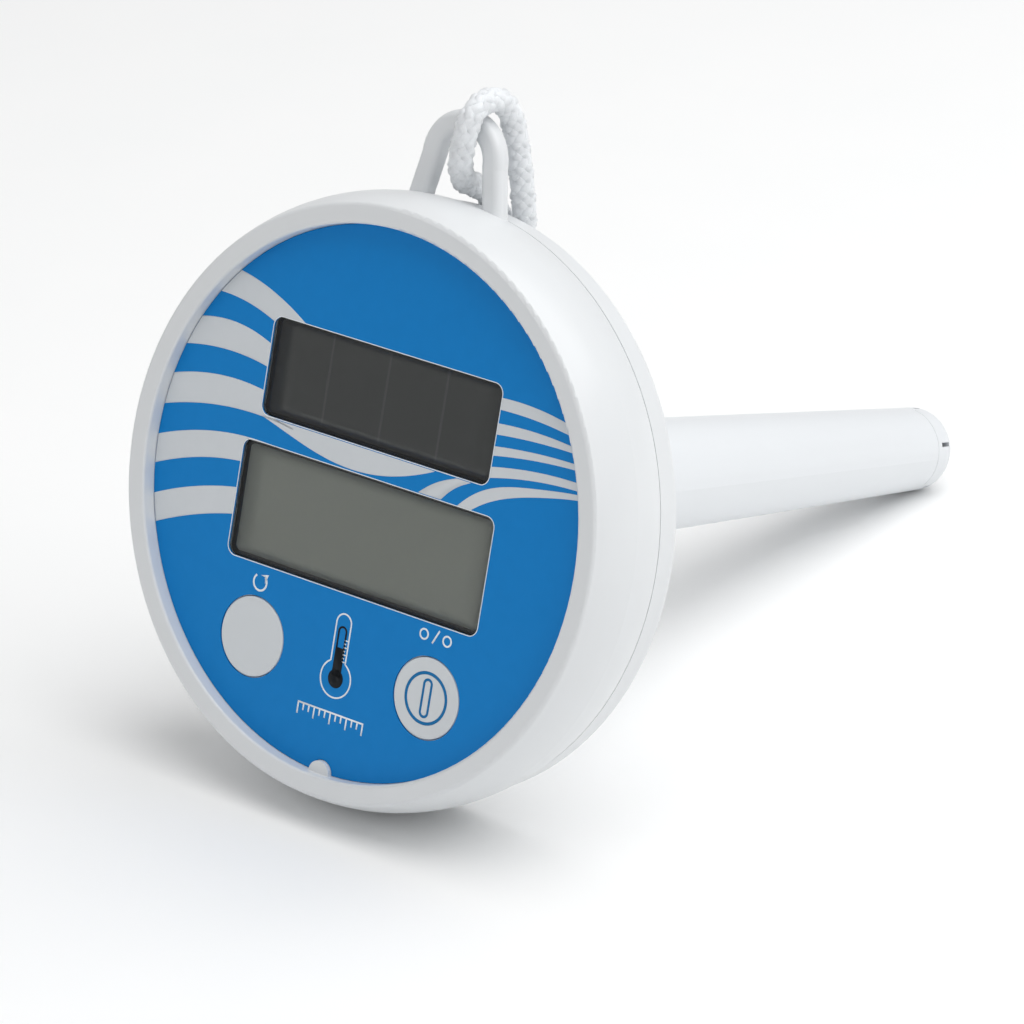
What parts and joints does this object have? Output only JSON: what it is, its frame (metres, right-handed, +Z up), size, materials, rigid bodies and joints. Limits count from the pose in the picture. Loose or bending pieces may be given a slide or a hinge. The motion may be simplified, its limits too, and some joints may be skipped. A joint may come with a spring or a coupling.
{
  "type": "floating pool thermometer",
  "caption": "Floating digital pool thermometer: round solar head with display and keys, long hollow probe, braided tether on an eye.",
  "frame": {"origin": "on the table the object lies on, under the middle of its rigid pieces' box, tether left out", "axes": "+Z up, +Y horizontal from the face towards the probe's tip, +X to the right of a person who reads the face"},
  "size_m": [0.1317, 0.1799, 0.1201],
  "materials": {
    "housing": "satin moulded white ABS",
    "probe": "satin moulded white polypropylene",
    "label": "printed blue film with pale waves",
    "clear": "clear polycarbonate",
    "black_plastic": "matte black",
    "display": "grey-green liquid crystal glass",
    "solar": "dark amorphous silicon",
    "key": "pale grey",
    "seal": "black nitrile",
    "strip": "pale layered silicone",
    "board": "green solder mask",
    "chip": "black epoxy",
    "tinned": "tinned metal",
    "steel": "zinc plated steel",
    "iron": "raw iron",
    "lead": "grey cable jacket",
    "brass": "plated contact metal",
    "cell": "nickel plated can",
    "rope": "white braided polyester"
  },
  "bodies": {
    "thermometer": {"front_housing": "housing", "rear_shell": "housing", "main_seal": "seal", "probe_tube": "probe", "probe_seal": "seal", "probe_nut": "housing", "tip_cap": "probe", "tip_seal": "seal", "sensor_sleeve": "steel", "sensor_bead": "chip", "ballast": "iron", "sensor_lead": "lead", "face_label": "label", "display_window": "clear", "solar_window": "clear", "display_gasket": "black_plastic", "solar_gasket": "black_plastic", "display_glass": "display", "contact_strips": "strip", "solar_cell": "solar", "solar_leads": "tinned", "reset_switch": "chip", "unit_switch": "chip", "main_board": "board", "board_screws": "steel", "controller_chip": "chip", "timing_crystal": "tinned", "board_parts": "tinned", "lead_socket": "black_plastic", "case_screws": "steel", "coin_cell": "cell", "cell_contacts": "brass", "tether_loop": "rope", "tether_knot": "rope", "tether_tail": "rope", "tether_coil": "rope", "tether_end": "rope", "tether_end_knot": "rope"},
    "reset_key": {"reset_key": "key", "reset_key_seal": "seal", "reset_plunger": "black_plastic"},
    "unit_key": {"unit_key": "key", "unit_key_seal": "seal", "unit_plunger": "black_plastic"},
    "battery_cap": {"battery_cap": "housing", "battery_cap_seal": "seal"}
  },
  "joints": [
    {"name": "reset_key_press", "type": "slide", "parent": "thermometer", "child": "reset_key", "axis": [0, 0.9591, -0.2831], "range_m": [0, 0.0005], "stiffness_N_per_m": 1500},
    {"name": "unit_key_press", "type": "slide", "parent": "thermometer", "child": "unit_key", "axis": [0, 0.9591, -0.2831], "range_m": [0, 0.0005], "stiffness_N_per_m": 1500},
    {"name": "battery_cap_turn", "type": "hinge", "parent": "thermometer", "child": "battery_cap", "pos_m": [0, -0.06265, 0.01774], "axis": [0, 0.9591, -0.2831], "range_deg": [0, 90]}
  ]
}
